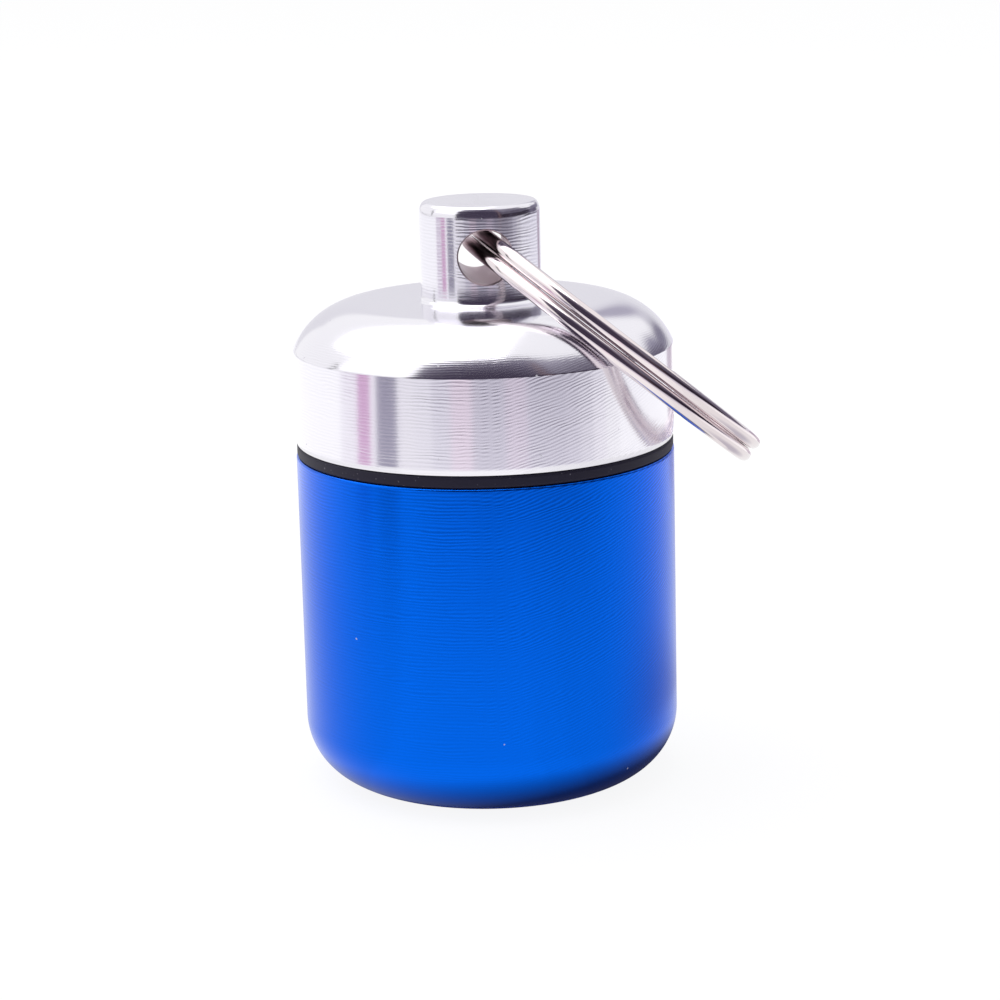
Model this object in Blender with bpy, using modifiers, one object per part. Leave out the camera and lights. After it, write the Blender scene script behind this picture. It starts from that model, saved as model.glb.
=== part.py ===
"""Pocket pill capsule: an anodised aluminium cup with a screw cap, a rubber seal and a split ring.

Lengths are in metres, +Z is up, and the origin is the centre of the cup's base.
The cap is screwed home, and the split ring leans on the cap's crown.
"""
import math

import bpy
import numpy as np
from mathutils import Matrix, Vector

MM = 0.001

# Running and touching clearances
SEAT_GAP = 0.1 * MM
THREAD_CLEARANCE = 0.35 * MM
CEILING_CLEARANCE = 1.3 * MM

# Cup
CUP_RADIUS = 13.0 * MM
CUP_HEIGHT = 23.05 * MM
BASE_EDGE_RADIUS = 4.5 * MM
CHAMBER_CORNER_RADIUS = 2.5 * MM
FLOOR_THICKNESS = 1.8 * MM
SHOULDER_EDGE_RADIUS = 0.15 * MM

# Neck of the cup
NECK_WALL = 1.25 * MM
THREAD_DEPTH = 0.45 * MM
THREAD_LENGTH = 4.9 * MM
SEAL_LAND_HEIGHT = 0.95 * MM
NECK_CHAMFER = 0.4 * MM

# Rubber seal, squeezed between the cup's shoulder and the cap's rim
SEAL_HEIGHT = 0.85 * MM
SEAL_INSET = 0.05 * MM

# Cap
CAP_WALL = 1.05 * MM
BAND_HEIGHT = 6.42 * MM
CROWN_RISE = 3.12 * MM
CROWN_ARC_RADIUS = 5.2 * MM
CAP_CORNER_RADIUS = 1.0 * MM
RIM_CHAMFER = 0.25 * MM

# Knob on the crown, and the hole drilled across it
KNOB_RADIUS = 4.1 * MM
KNOB_HEIGHT = 6.7 * MM
KNOB_EDGE_RADIUS = 0.45 * MM
KNOB_FOOT_RADIUS = 0.3 * MM
HOLE_RADIUS = 1.8 * MM
HOLE_CHAMFER = 0.2 * MM
HOLE_TURN = math.radians(5.0)

# Split ring of round wire
RING_DIAMETER = 25.0 * MM
WIRE_DIAMETER = 1.0 * MM
TURN_GAP = 0.04 * MM
RING_SHIFT = 0.66 * MM
RING_LEAN = math.radians(2.72)
RING_LIFT_SHARE = 0.545
STEP_ANGLE = math.radians(26.0)
STEP_PLACE = math.radians(115.0)
WIRE_END_ANGLE = math.radians(3.0)

# Fineness of the meshes
TURN_STEPS = 72
HOLE_STEPS = 40
WIRE_STEPS = 72
ARC_TOLERANCE = 0.01 * MM
MERGE_DISTANCE = 0.001 * MM
CUT_OVERRUN = 1.0 * MM

# Heights and radii that follow
CAP_RADIUS = CUP_RADIUS
CAP_BORE_RADIUS = CAP_RADIUS - CAP_WALL
THREAD_CREST_RADIUS = CAP_BORE_RADIUS - THREAD_CLEARANCE
THREAD_ROOT_RADIUS = THREAD_CREST_RADIUS - THREAD_DEPTH
CHAMBER_RADIUS = THREAD_ROOT_RADIUS - NECK_WALL
NECK_HEIGHT = SEAL_LAND_HEIGHT + THREAD_LENGTH
RIM_HEIGHT = CUP_HEIGHT + SEAL_HEIGHT
CAP_DEPTH = NECK_HEIGHT - SEAL_HEIGHT + CEILING_CLEARANCE
CROWN_HEIGHT = BAND_HEIGHT + CROWN_RISE
KNOB_TOP = CROWN_HEIGHT + KNOB_HEIGHT
HOLE_HEIGHT = CROWN_HEIGHT + KNOB_HEIGHT / 2
WIRE_RADIUS = WIRE_DIAMETER / 2
COIL_RADIUS = RING_DIAMETER / 2 - WIRE_RADIUS
TURN_PITCH = WIRE_DIAMETER + TURN_GAP


def clear_scene():
    """Removes every object that is already in the file."""
    for found in list(bpy.data.objects):
        bpy.data.objects.remove(found, do_unlink=True)


def collection(name):
    """A new collection of the scene."""
    made = bpy.data.collections.new(name)
    bpy.context.scene.collection.children.link(made)
    return made


def material(name, colour, metallic, roughness):
    """A plain Principled material."""
    made = bpy.data.materials.new(name)
    made.use_nodes = True
    shader = made.node_tree.nodes["Principled BSDF"]
    shader.inputs["Base Color"].default_value = (*colour, 1.0)
    shader.inputs["Metallic"].default_value = metallic
    shader.inputs["Roughness"].default_value = roughness
    made.diffuse_color = (*colour, 1.0)
    return made


def arc(centre, radius, start, end):
    """Points (radius from the axis, height) of a round stretch, from angle start to angle end."""
    step = 2 * math.acos(1.0 - ARC_TOLERANCE / max(radius, 2 * ARC_TOLERANCE))
    count = max(2, math.ceil(abs(end - start) / step))
    angles = [start + (end - start) * index / count for index in range(count + 1)]
    return [(centre[0] + radius * math.cos(turn), centre[1] + radius * math.sin(turn)) for turn in angles]


def turned(name, outline, home, finish=None, closed=False, steps=TURN_STEPS):
    """A piece turned about Z from an outline that runs down its outer side."""
    mesh = bpy.data.meshes.new(name)
    points = [(across, 0.0, height) for across, height in outline]
    edges = [(index, index + 1) for index in range(len(points) - 1)]
    if closed:
        edges.append((len(points) - 1, 0))
    mesh.from_pydata(points, edges, [])
    made = bpy.data.objects.new(name, mesh)
    home.objects.link(made)
    if finish:
        mesh.materials.append(finish)
    screw = made.modifiers.new("Turn", "SCREW")
    screw.axis = "Z"
    screw.angle = math.tau
    screw.steps = steps
    screw.render_steps = steps
    screw.use_merge_vertices = True
    screw.merge_threshold = MERGE_DISTANCE
    screw.use_smooth_shade = True
    return made


def cup_outline():
    """Inside from the floor's centre up to the neck, then down the outside to the base's centre."""
    corner = min(CHAMBER_CORNER_RADIUS, CHAMBER_RADIUS)
    neck_top = CUP_HEIGHT + NECK_HEIGHT
    land_top = CUP_HEIGHT + SEAL_LAND_HEIGHT
    points = [(0.0, FLOOR_THICKNESS)]
    points += arc((CHAMBER_RADIUS - corner, FLOOR_THICKNESS + corner), corner, -math.pi / 2, 0.0)
    points += [
        (CHAMBER_RADIUS, neck_top),
        (THREAD_ROOT_RADIUS - NECK_CHAMFER, neck_top),
        (THREAD_ROOT_RADIUS, neck_top - NECK_CHAMFER),
        (THREAD_ROOT_RADIUS, land_top + THREAD_DEPTH),
        (THREAD_CREST_RADIUS, land_top),
        (THREAD_CREST_RADIUS, CUP_HEIGHT),
    ]
    edge = SHOULDER_EDGE_RADIUS
    points += arc((CUP_RADIUS - edge, CUP_HEIGHT - edge), edge, math.pi / 2, 0.0)
    edge = min(BASE_EDGE_RADIUS, CUP_RADIUS)
    points += arc((CUP_RADIUS - edge, edge), edge, 0.0, -math.pi / 2)
    points.append((0.0, 0.0))
    return points


def seal_outline():
    """A squeezed round section: flat where it meets the cup and the cap, round at its sides."""
    half = SEAL_HEIGHT / 2 - SEAT_GAP
    inner = THREAD_CREST_RADIUS + SEAT_GAP + half
    outer = CUP_RADIUS - SEAL_INSET - half
    points = arc((outer, 0.0), half, math.pi / 2, -math.pi / 2)
    points += arc((inner, 0.0), half, -math.pi / 2, -3 * math.pi / 2)
    return points


def crown_arc():
    """Round shoulder between the crown's flat top and the crease over the band."""
    sunk = CROWN_HEIGHT - CROWN_ARC_RADIUS
    crease = math.asin((BAND_HEIGHT - sunk) / CROWN_ARC_RADIUS)
    middle = CAP_RADIUS - CROWN_ARC_RADIUS * math.cos(crease)
    return arc((middle, sunk), CROWN_ARC_RADIUS, math.pi / 2, crease)


def cap_outside():
    """Outside of the cap from the knob's middle down to the rim, with the rim at height 0."""
    edge = KNOB_EDGE_RADIUS
    foot = KNOB_FOOT_RADIUS
    points = [(0.0, KNOB_TOP)]
    points += arc((KNOB_RADIUS - edge, KNOB_TOP - edge), edge, math.pi / 2, 0.0)
    points += arc((KNOB_RADIUS + foot, CROWN_HEIGHT + foot), foot, math.pi, 3 * math.pi / 2)
    points += crown_arc()
    points.append((CAP_RADIUS, 0.0))
    return points


def cap_inside():
    """Bore of the cap from the rim up to the middle of its ceiling."""
    corner = CAP_CORNER_RADIUS
    points = [(CAP_BORE_RADIUS + RIM_CHAMFER, 0.0), (CAP_BORE_RADIUS, RIM_CHAMFER)]
    points += arc((CAP_BORE_RADIUS - corner, CAP_DEPTH - corner), corner, 0.0, math.pi / 2)
    points.append((0.0, CAP_DEPTH))
    return points


def hole_outline():
    """Cutter of the cross hole: a drill with a countersink where it leaves the knob at each end."""
    start = KNOB_RADIUS - HOLE_CHAMFER
    end = KNOB_RADIUS + CUT_OVERRUN
    wide = HOLE_RADIUS + end - start
    return [
        (0.0, end),
        (wide, end),
        (HOLE_RADIUS, start),
        (HOLE_RADIUS, -start),
        (wide, -end),
        (0.0, -end),
    ]


def cut_hole(cap, cutters):
    """Drills the knob along the hole's axis, which is level and turned a little from Y."""
    cutter = turned("hole_cutter", hole_outline(), cutters, steps=HOLE_STEPS)
    cutter.matrix_world = (
        Matrix.Translation((0.0, 0.0, RIM_HEIGHT + HOLE_HEIGHT))
        @ Matrix.Rotation(HOLE_TURN, 4, "Z")
        @ Matrix.Rotation(math.pi / 2, 4, "X")
    )
    cutter.hide_render = True
    cutter.display_type = "WIRE"
    cut = cap.modifiers.new("Cross hole", "BOOLEAN")
    cut.operation = "DIFFERENCE"
    cut.solver = "EXACT"
    cut.object = cutter


def ring_offset():
    """Middle of the coil from the middle of the hole, with the wires against the hole's side."""
    reach = HOLE_RADIUS - SEAT_GAP - WIRE_RADIUS
    room = reach - TURN_PITCH / 2
    lift = RING_LIFT_SHARE * room
    rise = math.sqrt(reach ** 2 - (TURN_PITCH / 2 + lift) ** 2)
    return Vector((COIL_RADIUS - rise, RING_SHIFT, lift))


def ring_point(turn, level):
    """A point of the wire's middle line at an angle round the coil and a level across its turns."""
    flat = Vector((COIL_RADIUS * math.cos(turn), COIL_RADIUS * math.sin(turn), level))
    return Matrix.Rotation(-RING_LEAN, 3, "X") @ flat + ring_offset()


def wire_route():
    """Two turns side by side, with one step across where the wire's two ends face each other."""
    first = STEP_PLACE + STEP_ANGLE / 2 + WIRE_END_ANGLE
    last = STEP_PLACE + 2 * math.tau - STEP_ANGLE / 2 - WIRE_END_ANGLE
    step_start = STEP_PLACE + math.tau - STEP_ANGLE / 2
    count = 2 * WIRE_STEPS
    route = []
    for index in range(count + 1):
        turn = first + (last - first) * index / count
        across = min(1.0, max(0.0, (turn - step_start) / STEP_ANGLE))
        eased = across * across * (3.0 - 2.0 * across)
        route.append(ring_point(turn, (eased - 1.0 / 2.0) * TURN_PITCH))
    return route


def crown_gap(dip):
    """Least gap between the ring, dipped by an angle from level, and the cap's crown and band."""
    outline = np.array(cap_outside())
    starts, ends = outline[:-1], outline[1:]
    runs = ends - starts
    lengths = (runs ** 2).sum(axis=1)
    swing = Matrix.Rotation(dip, 3, "Y")
    hole = Vector((0.0, 0.0, HOLE_HEIGHT))
    least = KNOB_TOP
    for index in range(2 * WIRE_STEPS):
        turn = math.pi * (index / WIRE_STEPS - 1.0) * 3.0 / 4.0
        for level in (-TURN_PITCH / 2, TURN_PITCH / 2):
            place = swing @ ring_point(turn, level) + hole
            spot = np.array((math.hypot(place.x, place.y), place.z))
            along = ((spot - starts) * runs).sum(axis=1) / np.maximum(lengths, MERGE_DISTANCE ** 2)
            nearest = starts + runs * np.clip(along, 0.0, 1.0)[:, None]
            least = min(least, float(np.linalg.norm(spot - nearest, axis=1).min()) - WIRE_RADIUS)
    return least


def rest_dip():
    """Angle at which the falling ring stops on the crown, one seat gap clear of it."""
    stride = math.radians(1.0)
    dip = 0.0
    while crown_gap(dip + stride) > SEAT_GAP and dip < math.pi / 2:
        dip += stride
    for _ in range(12):
        stride /= 2
        if crown_gap(dip + stride) > SEAT_GAP:
            dip += stride
    return dip


def make_ring(parts, finish, cap):
    """The split ring, whose origin is the middle of the hole and whose Y axis is the hole's."""
    pivot = bpy.data.objects.new("ring_pivot", None)
    parts.objects.link(pivot)
    pivot.parent = cap
    pivot.location = (0.0, 0.0, HOLE_HEIGHT)
    pivot.rotation_euler = (0.0, 0.0, HOLE_TURN)
    route = wire_route()
    data = bpy.data.curves.new("split_ring", "CURVE")
    data.dimensions = "3D"
    data.bevel_depth = WIRE_RADIUS
    data.bevel_resolution = 2
    data.use_fill_caps = True
    spline = data.splines.new("POLY")
    spline.points.add(len(route) - 1)
    for point, place in zip(spline.points, route):
        point.co = (*place, 1.0)
    data.materials.append(finish)
    ring = bpy.data.objects.new("split_ring", data)
    parts.objects.link(ring)
    ring.parent = pivot
    ring.rotation_euler = (0.0, rest_dip(), 0.0)
    return ring


def build():
    """Makes the four pieces and the cutter."""
    clear_scene()
    parts = collection("pill_capsule")
    cutters = collection("cutters")
    blue = material("blue_anodised_aluminium", (0.006, 0.107, 0.693), 1.0, 0.3)
    bright = material("bright_turned_aluminium", (0.78, 0.77, 0.8), 1.0, 0.16)
    black = material("black_nitrile_rubber", (0.018, 0.016, 0.022), 0.0, 0.5)
    nickel = material("nickel_plated_steel", (0.66, 0.61, 0.57), 1.0, 0.08)
    turned("pill_cup", cup_outline(), parts, blue)
    seal = turned("seal_ring", seal_outline(), parts, black, closed=True)
    seal.location.z = CUP_HEIGHT + SEAL_HEIGHT / 2
    cap = turned("screw_cap", cap_outside() + cap_inside(), parts, bright)
    cap.location.z = RIM_HEIGHT
    cut_hole(cap, cutters)
    make_ring(parts, nickel, cap)


build()
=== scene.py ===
"""Pocket pill holder: a turned aluminium cup with a domed screw cap, a rubber seal and a split ring.

Everything is in metres, +Z is up, and the origin is the centre of the cup's base.
"""
import math

import bmesh
import bpy
from bpy.props import FloatProperty, FloatVectorProperty, IntProperty, PointerProperty, StringProperty
from mathutils import Matrix, Vector


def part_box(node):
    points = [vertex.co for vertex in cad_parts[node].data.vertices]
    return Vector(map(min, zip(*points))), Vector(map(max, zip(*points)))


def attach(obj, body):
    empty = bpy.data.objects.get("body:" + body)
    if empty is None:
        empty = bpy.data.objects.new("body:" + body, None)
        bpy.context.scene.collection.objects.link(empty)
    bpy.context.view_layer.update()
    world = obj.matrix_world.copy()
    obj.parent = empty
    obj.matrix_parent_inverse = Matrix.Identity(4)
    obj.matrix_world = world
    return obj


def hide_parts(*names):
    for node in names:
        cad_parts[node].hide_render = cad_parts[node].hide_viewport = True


bl_info = {
    "name": "Pocket pill holder",
    "version": (1, 0, 0),
    "blender": (4, 5, 0),
    "location": "3D View > Sidebar > Pill holder",
    "description": "Makes a turned aluminium pill holder with cap, seal and split ring, and its studio",
    "category": "Add Mesh",
}

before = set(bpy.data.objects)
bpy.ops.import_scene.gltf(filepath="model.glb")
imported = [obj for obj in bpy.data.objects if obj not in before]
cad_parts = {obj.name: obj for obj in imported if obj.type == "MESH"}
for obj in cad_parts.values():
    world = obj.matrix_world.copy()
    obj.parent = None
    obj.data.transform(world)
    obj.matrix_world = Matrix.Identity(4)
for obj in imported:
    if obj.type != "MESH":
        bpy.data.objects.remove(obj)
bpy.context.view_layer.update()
MM = 0.001
Y_AXIS, Z_AXIS = (0.0, 1.0, 0.0), (0.0, 0.0, 1.0)
CENTRE = (0.0, 0.0, 0.0)

CUP_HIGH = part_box("pill_cup")[1]
CAP_LOW, CAP_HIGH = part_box("screw_cap")
SEAL_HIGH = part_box("seal_ring")[1]

# Steps round a turned piece, round the hole and along a card
ROUND_STEPS, HOLE_STEPS, SECTOR_STEPS = 288, 96, 24
MERGE_DISTANCE = 0.0001 * MM
# Distance from a corner to the point that holds its shading, and the shortest run with one
HOLD = 0.03 * MM
SHORTEST_HELD = 4 * HOLD
# Depth to which a thread ridge stands in its wall
BURIED = 0.06 * MM
# Edges with a larger angle are sharp
SHARP = math.radians(28.0)
# Height of the lower edge of the cards round the room
UNDER_TABLE = -0.02


def length(name, default, description):
    """A length in metres."""
    return FloatProperty(
        name=name, description=description, default=default, min=0.0, precision=5, unit="LENGTH"
    )


def turn(name, default, description):
    """An angle, given in degrees."""
    angle = math.radians(default)
    return FloatProperty(name=name, description=description, default=angle, unit="ROTATION")


def place(name, default, description):
    """A point in metres."""
    return FloatVectorProperty(
        name=name, description=description, default=default, precision=5, unit="LENGTH"
    )


def tint(name, default, description):
    """An sRGB colour, written in hex."""
    return StringProperty(name=name, description=description, default=default, maxlen=7)


class CupSizes(bpy.types.PropertyGroup):
    """Sizes of the cup."""

    radius: length("Radius", CUP_HIGH[0], "Outer radius of the cup")
    neck_top: length("Neck top", CUP_HIGH[2], "Height of the neck's mouth over the base")
    shoulder: length("Shoulder", 23.05 * MM, "Height of the shoulder under the seal")
    base_edge: length("Base edge", 4.5 * MM, "Radius of the round edge under the cup")
    shoulder_edge: length("Shoulder edge", 0.15 * MM, "Radius of the broken edge beside the seal")
    land_radius: length("Land radius", 11.6 * MM, "Radius of the plain land inside the seal")
    land_height: length("Land height", 0.95 * MM, "Height of the plain land over the shoulder")
    root_radius: length("Thread root", 11.15 * MM, "Radius of the neck between its thread ridges")
    crest_radius: length("Thread crest", 11.6 * MM, "Radius of the neck over its thread ridges")
    chamber_radius: length("Chamber radius", 9.9 * MM, "Inner radius of the pill chamber")
    chamber_corner: length("Chamber corner", 2.5 * MM, "Radius of the chamber's bottom corner")
    floor: length("Floor", 1.8 * MM, "Thickness of the chamber's floor")
    mouth_edge: length("Mouth edge", 0.4 * MM, "Bevel round the neck's mouth")


class ThreadSizes(bpy.types.PropertyGroup):
    """Sizes that the neck's and the cap's threads share."""

    pitch: length("Pitch", 1.0 * MM, "Rise of the thread in one turn")
    turns: FloatProperty(name="Turns", description="Number of turns of each ridge", default=3.8, min=1.0)
    root_width: length("Root width", 0.7 * MM, "Width of a ridge where it leaves the wall")
    crest_width: length("Crest width", 0.16 * MM, "Width of a ridge at its crest")
    first_height: length("First ridge", 24.5 * MM, "Height at which both ridges start")
    fade: turn("Fade", 28.0, "Angle in which a ridge's ends run out")
    steps: IntProperty(name="Steps", description="Steps of a ridge in one turn", default=96, min=24)


class CapSizes(bpy.types.PropertyGroup):
    """Sizes of the cap, its crown, its knob and the hole across the knob."""

    rim: length("Rim", CAP_LOW[2], "Height of the cap's rim over the cup's base")
    radius: length("Radius", CAP_HIGH[0], "Outer radius of the cap's band")
    top: length("Top", CAP_HIGH[2], "Height of the knob's top over the cup's base")
    band: length("Band", 6.42 * MM, "Height of the upright band")
    crown_rise: length("Crown rise", 3.12 * MM, "Height of the crown over the band")
    crown_arc: length("Crown arc", 5.2 * MM, "Radius of the crown's round shoulder")
    knob_radius: length("Knob radius", 4.1 * MM, "Radius of the knob")
    edge_across: length("Knob edge across", 0.42 * MM, "Width of the knob's polished top edge")
    edge_down: length("Knob edge down", 0.8 * MM, "Height of the knob's polished top edge")
    knob_foot: length("Knob foot", 0.45 * MM, "Radius of the round corner at the knob's foot")
    rim_edge: length("Rim edge", 0.1 * MM, "Radius of the rim's outer edge")
    rim_roll: length("Rim roll", 1.2 * MM, "Radius in which the band turns in over the rim")
    rim_lean: turn("Rim lean", 20.0, "Angle that the band turns in over the rim")
    bore_radius: length("Bore radius", 11.95 * MM, "Radius of the bore over the neck")
    bore_depth: length("Bore depth", 6.3 * MM, "Depth of the bore from the rim")
    bore_corner: length("Bore corner", 1.0 * MM, "Radius of the bore's upper corner")
    bore_mouth: length("Bore mouth", 0.25 * MM, "Bevel at the bore's mouth")
    crest_radius: length("Thread crest", 11.27 * MM, "Radius inside the cap's thread ridges")
    hole_radius: length("Hole radius", 1.8 * MM, "Radius of the hole drilled across the knob")
    hole_height: length("Hole height", 12.89 * MM, "Height of the hole's axis over the rim")
    hole_break: length("Hole edge", 0.1 * MM, "Width of the broken edge round the hole")
    hole_turn: turn("Hole turn", 5.0, "Angle of the hole's axis from the Y axis")


class SealSizes(bpy.types.PropertyGroup):
    """Sizes of the squeezed rubber ring."""

    low: length("Low side", 23.06 * MM, "Height of the seal's lower face, on the shoulder")
    high: length("High side", CAP_LOW[2] - 0.01 * MM, "Height of the seal's upper face, under the rim")
    corner: length("Corner", 0.2 * MM, "Radius of the corners of the squeezed section")
    outer: length("Outer radius", SEAL_HIGH[0], "Outer radius of the seal")
    inner: length("Inner radius", 11.7 * MM, "Inner radius of the seal")


class RingSizes(bpy.types.PropertyGroup):
    """Sizes and rest place of the split ring."""

    coil_radius: length("Coil radius", 12.0 * MM, "Radius of the wire's middle line")
    wire_radius: length("Wire radius", 0.5 * MM, "Radius of the wire")
    pitch: length("Turn pitch", 1.04 * MM, "Distance between the two turns of wire")
    sides: IntProperty(name="Wire sides", description="Sides of the wire's section", default=36, min=8)
    steps: IntProperty(name="Steps", description="Steps of the wire in one turn", default=288, min=36)
    step_angle: turn("Step angle", 26.0, "Angle in which the wire steps from one turn to the next")
    step_place: turn("Step place", 115.0, "Angle round the coil of the middle of that step")
    end_gap: turn("End gap", 3.0, "Angle between a wire end and the step beside it")
    end_edge: length("End edge", 0.12 * MM, "Radius of the wire's ground ends")
    lean: turn("Lean", 2.72, "Lean of the coil's plane across the hole")
    dip: turn("Dip", 39.401, "Angle that the coil hangs down from level")
    centre: place("Coil centre", (11.1957 * MM, 0.66 * MM, 0.3706 * MM), "Its place from the hole's centre")


class Finishes(bpy.types.PropertyGroup):
    """Colours of the finishes."""

    blue: tint("Blue dye", "#0361E1", "Colour of the dyed anodic film on the cup")
    bare: tint("Clear anodised aluminium", "#EAE8EF", "Colour of the turned cap")
    # The bore's darker colour is painted shade for the inside of the drilled hole
    bore: tint("Bore", "#B8A9AE", "Colour of the duller drilled hole")
    rubber: tint("Rubber", "#18132C", "Colour of the moulded seal")
    nickel: tint("Nickel", "#E8DEE0", "Colour of the plated wire")


class Studio(bpy.types.PropertyGroup):
    """Camera and light of the studio."""

    eye: place("Eye", (0.0, -190.74 * MM, 64.42 * MM), "Place of the camera")
    aim: place("Aim", (0.918 * MM, 0.0, 19.263 * MM), "Point in the middle of the view")
    roll: turn("Roll", -1.432, "Turn of the camera about its own axis")
    lens: FloatProperty(name="Lens", description="Focal length in millimetres", default=101.83, min=10.0)
    softbox: FloatProperty(name="Softbox", description="Power of the softbox above", default=1.75, min=0.0)
    fill: FloatProperty(name="Fill", description="Strength of the tent's own light", default=0.55, min=0.0)


def linear(code):
    """Linear colour, with alpha, of an sRGB hex value."""
    parts = [int(code[start : start + 2], 16) / 255 for start in (1, 3, 5)]
    return (*(part / 12.92 if part <= 0.04045 else ((part + 0.055) / 1.055) ** 2.4 for part in parts), 1.0)


def add_node(tree, kind, inputs=None, **settings):
    """Adds a node with its settings; an input takes a value, a socket, or a node for its first socket."""
    node = tree.nodes.new(kind)
    for name, value in settings.items():
        setattr(node, name, value)
    for name, value in (inputs or {}).items():
        if isinstance(value, bpy.types.Node):
            value = value.outputs[0]
        if isinstance(value, bpy.types.NodeSocket):
            tree.links.new(value, node.inputs[name])
        else:
            node.inputs[name].default_value = value
    return node


def new_material(name):
    """An empty node material and its tree."""
    made = bpy.data.materials.new(name)
    made.use_nodes = True
    made.node_tree.nodes.clear()
    return made, made.node_tree


def start_outline(bm, across, height):
    """First point of a turned piece's outline."""
    return bmesh.ops.create_vert(bm, co=(across, 0.0, height))["vert"][0]


def draw_line(bm, start, across, height):
    """Extends an outline with a straight run, held by a close point at each end."""
    end = Vector((across, 0.0, height))
    run = end - start.co
    stops = [end]
    if run.length > SHORTEST_HELD:
        hold = run.normalized() * HOLD
        stops = [start.co + hold, end - hold, end]
    for stop in stops:
        start = bmesh.ops.extrude_vert_indiv(bm, verts=[start])["verts"][0]
        start.co = stop
    return start


def draw_arc(bm, start, across, height, degrees, steps):
    """Extends an outline with a round run about a centre, clockwise where the angle is positive."""
    centre, angle = (across, 0.0, height), math.radians(degrees)
    made = bmesh.ops.spin(
        bm, geom=[start], cent=centre, axis=Y_AXIS, angle=angle, steps=steps, use_duplicate=False
    )
    return made["geom_last"][0]


def revolve(bm, steps):
    """Turns an outline about Z into a closed skin that faces outwards."""
    outline = bm.verts[:] + bm.edges[:]
    bmesh.ops.spin(bm, geom=outline, cent=CENTRE, axis=Z_AXIS, angle=math.tau, steps=steps, use_merge=True)
    bmesh.ops.remove_doubles(bm, verts=bm.verts[:], dist=MERGE_DISTANCE)
    bmesh.ops.recalc_face_normals(bm, faces=bm.faces[:])


def make_object(bm, name):
    """An object of a finished bmesh."""
    mesh = bpy.data.meshes.new(name)
    bm.to_mesh(mesh)
    bm.free()
    made = bpy.data.objects.new(name, mesh)
    bpy.context.scene.collection.objects.link(made)
    return made


def combine(piece, other, operation):
    """Unites a piece with another or cuts it away, and removes the other."""
    step = piece.modifiers.new(operation.title(), "BOOLEAN")
    step.operation = operation
    step.solver = "EXACT"
    step.object = other
    seen = bpy.context.evaluated_depsgraph_get()
    old = piece.data
    piece.data = bpy.data.meshes.new_from_object(piece.evaluated_get(seen))
    piece.modifiers.clear()
    piece.data.name = piece.name
    bpy.data.meshes.remove(old)
    bpy.data.objects.remove(other, do_unlink=True)


def dress(piece, finish, node, body):
    """Shades a piece, gives it its finish and puts it in its node's place."""
    piece.data.materials.clear()
    piece.data.materials.append(finish)
    piece.data.shade_smooth()
    piece.data.set_sharp_from_angle(angle=SHARP)
    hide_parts(node)
    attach(piece, body)


def make_ridge(name, sizes, wall, crest, first_turn):
    """A right-hand thread ridge on a wall, which stands out to the crest radius and fades at its ends."""
    base = wall - math.copysign(BURIED, crest - wall)
    low = sizes.first_height
    section = (
        (base, -sizes.root_width / 2),
        (crest, -sizes.crest_width / 2),
        (crest, sizes.crest_width / 2),
        (base, sizes.root_width / 2),
    )
    bm = bmesh.new()
    corners = [bmesh.ops.create_vert(bm, co=(across, 0.0, low + up))["vert"][0] for across, up in section]
    bmesh.ops.contextual_create(bm, geom=corners)
    bmesh.ops.delete(bm, geom=bm.faces[:], context="FACES_ONLY")
    steps = round(sizes.turns * sizes.steps)
    rise = (0.0, 0.0, sizes.pitch * sizes.turns / steps)
    geometry = bm.verts[:] + bm.edges[:]
    angle = math.tau * sizes.turns
    bmesh.ops.spin(bm, geom=geometry, cent=CENTRE, axis=Z_AXIS, angle=angle, steps=steps, dvec=rise)
    bmesh.ops.holes_fill(bm, edges=bm.edges[:], sides=len(section))
    for corner in bm.verts:
        across = math.hypot(corner.co.x, corner.co.y)
        share = math.atan2(corner.co.y, corner.co.x) / math.tau
        along = share + round((corner.co.z - low) / sizes.pitch - share)
        left = min(along, sizes.turns - along) * math.tau / sizes.fade
        fade = min(1.0, max(0.0, left))
        wanted = base + (across - base) * fade
        corner.co.x *= wanted / across
        corner.co.y *= wanted / across
    bmesh.ops.rotate(bm, verts=bm.verts[:], cent=CENTRE, matrix=Matrix.Rotation(first_turn, 3, "Z"))
    bmesh.ops.recalc_face_normals(bm, faces=bm.faces[:])
    return make_object(bm, name)


def off_axis(tree, point, across):
    """Distance of a point from an axis, told by the two directions across that axis."""
    flat = add_node(tree, "ShaderNodeVectorMath", {0: point, 1: across}, operation="MULTIPLY")
    return add_node(tree, "ShaderNodeVectorMath", {0: flat}, operation="LENGTH").outputs["Value"]


def placed(tree, middle, angles, size=(1.0, 1.0, 1.0)):
    """A point's own place, seen from a middle in turned and sized axes."""
    point = add_node(tree, "ShaderNodeTexCoord").outputs["Object"]
    inputs = {"Vector": point, "Location": middle, "Rotation": angles, "Scale": size}
    return add_node(tree, "ShaderNodeMapping", inputs, vector_type="TEXTURE")


def round_axis(tree):
    """A point's own place round the Z axis: its three parts, its radius and its bearing to the right."""
    point = add_node(tree, "ShaderNodeTexCoord").outputs["Object"]
    parts = add_node(tree, "ShaderNodeSeparateXYZ", {0: point}).outputs
    front = add_node(tree, "ShaderNodeMath", {0: parts["Y"], 1: -1.0}, operation="MULTIPLY")
    bearing = add_node(tree, "ShaderNodeMath", {0: parts["X"], 1: front}, operation="ARCTAN2")
    return parts, off_axis(tree, point, (1.0, 1.0, 0.0)), bearing


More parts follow.
